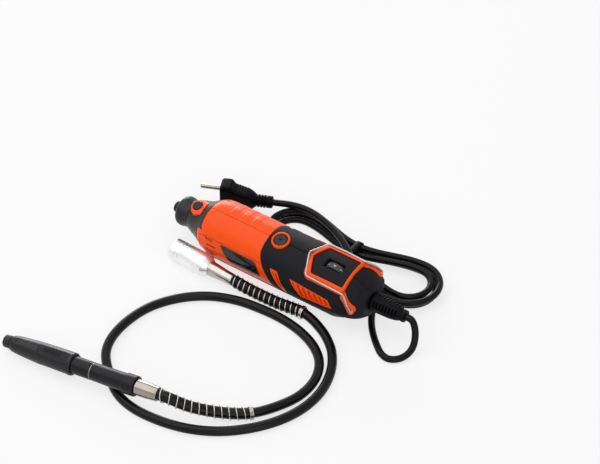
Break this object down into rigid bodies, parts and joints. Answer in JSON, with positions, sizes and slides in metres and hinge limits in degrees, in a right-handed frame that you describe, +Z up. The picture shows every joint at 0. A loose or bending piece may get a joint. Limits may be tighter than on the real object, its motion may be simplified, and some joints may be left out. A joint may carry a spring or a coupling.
{
  "type": "rotary tool with flexible shaft",
  "caption": "Corded high-speed rotary tool with spindle lock, speed dial and hanging bail, beside its flexible drive shaft with pencil handpiece; cord bundled, two-pin plug.",
  "frame": {"origin": "on the floor, under the middle of the object without its cord, hose and plug", "axes": "+X along the tool from its nose to its cord end, +Y away from the flexible shaft, +Z up"},
  "size_m": [0.2904, 0.2983, 0.057],
  "materials": {
    "clamshell": "satin orange moulding",
    "overmould": "finely textured soft skin",
    "black_moulding": "satin black",
    "dial": "grey",
    "cord_rubber": "satin black",
    "steel": "ground",
    "nickel": "nickel plated",
    "aluminium": "turned",
    "copper": "enamelled copper",
    "brass": "bright",
    "carbon": "carbon",
    "board": "solder mask",
    "fan": "black"
  },
  "bodies": {
    "tool_body": {"front_housing": "black_moulding", "lock_bezel": "clamshell", "front_bearing": "steel", "rear_bearing": "steel", "field_core": "steel", "field_coil_top": "copper", "field_coil_bottom": "copper", "carbon_brush_top": "carbon", "brush_holder_top": "brass", "brush_cap_top": "black_moulding", "brush_ring_top": "clamshell", "carbon_brush_bottom": "carbon", "brush_holder_bottom": "brass", "brush_cap_bottom": "black_moulding", "brush_ring_bottom": "clamshell", "housing_left": "clamshell", "housing_right": "clamshell", "grip_left": "overmould", "grip_right": "overmould", "nameplate": "black_moulding", "panel_frame": "clamshell", "speed_panel": "black_moulding", "speed_potentiometer": "black_moulding", "control_board": "board", "housing_screw_1": "steel", "housing_screw_2": "steel", "housing_screw_3": "steel", "housing_screw_4": "steel", "strain_relief": "overmould", "cord_free": "cord_rubber", "cord_hank": "cord_rubber", "cord_lead": "cord_rubber", "cord_tie": "cord_rubber", "plug": "cord_rubber", "plug_pin_lower": "nickel", "plug_pin_upper": "nickel"},
    "spindle_group": {"spindle": "steel", "collet": "steel", "collet_nut": "black_moulding", "cooling_fan": "fan", "armature_core": "steel", "armature_winding": "copper", "commutator": "copper"},
    "lock_button": {"lock_button": "black_moulding"},
    "nose_cap": {"nose_cap": "black_moulding"},
    "speed_dial": {"speed_dial": "dial"},
    "hanging_bail": {"hanging_bail": "steel"},
    "flexible_shaft": {"coupling_neck": "steel", "spring_guard_drive": "steel", "spring_guard_handpiece": "steel", "hose": "cord_rubber", "grip_sleeve": "black_moulding", "barrel_front": "black_moulding", "joint_ring": "nickel", "barrel_rear": "black_moulding", "handpiece_ferrule": "nickel"},
    "coupling_nut": {"coupling_sleeve": "aluminium"},
    "drive_core": {"drive_shank": "steel"},
    "handpiece_rotor": {"handpiece_spindle": "steel", "handpiece_nut": "black_moulding"}
  },
  "joints": [
    {"name": "spindle_spin", "type": "hinge", "parent": "tool_body", "child": "spindle_group", "pos_m": [-0.11406, 0.09403, 0.0266], "axis": [1, 0, 0], "continuous": true},
    {"name": "lock_press", "type": "slide", "parent": "tool_body", "child": "lock_button", "axis": [0, 0.2588, -0.9659], "range_m": [0, 0.0026], "stiffness_N_per_m": 600, "springref_m": -0.002},
    {"name": "nose_cap_off", "type": "slide", "parent": "tool_body", "child": "nose_cap", "axis": [-1, 0, 0], "range_m": [0, 0.03]},
    {"name": "dial_turn", "type": "hinge", "parent": "tool_body", "child": "speed_dial", "pos_m": [0.06634, 0.08958, 0.04321], "axis": [0, 0.9659, 0.2588], "range_deg": [0, 270]},
    {"name": "bail_swing", "type": "hinge", "parent": "tool_body", "child": "hanging_bail", "pos_m": [0.09694, 0.09157, 0.03578], "axis": [0, 0.9659, 0.2588], "range_deg": [0, 150]},
    {"name": "shaft_lift", "type": "slide", "parent": "tool_body", "child": "flexible_shaft", "axis": [0, -0.8, 0.6], "range_m": [0, 0.12]},
    {"name": "coupling_turn", "type": "hinge", "parent": "flexible_shaft", "child": "coupling_nut", "pos_m": [-0.09256, 0.06103, 0.0106], "axis": [0.9992, -0.0397, 0], "continuous": true},
    {"name": "drive_core_spin", "type": "hinge", "parent": "flexible_shaft", "child": "drive_core", "pos_m": [-0.09256, 0.06103, 0.0106], "axis": [0.9992, -0.0397, 0], "continuous": true},
    {"name": "handpiece_spin", "type": "hinge", "parent": "flexible_shaft", "child": "handpiece_rotor", "pos_m": [-0.13556, -0.11497, 0.0082], "axis": [0.9911, 0.1068, 0.0796], "continuous": true}
  ],
  "couplings": [
    {"joint": "drive_core_spin", "follows": "handpiece_spin", "ratio": 1}
  ]
}
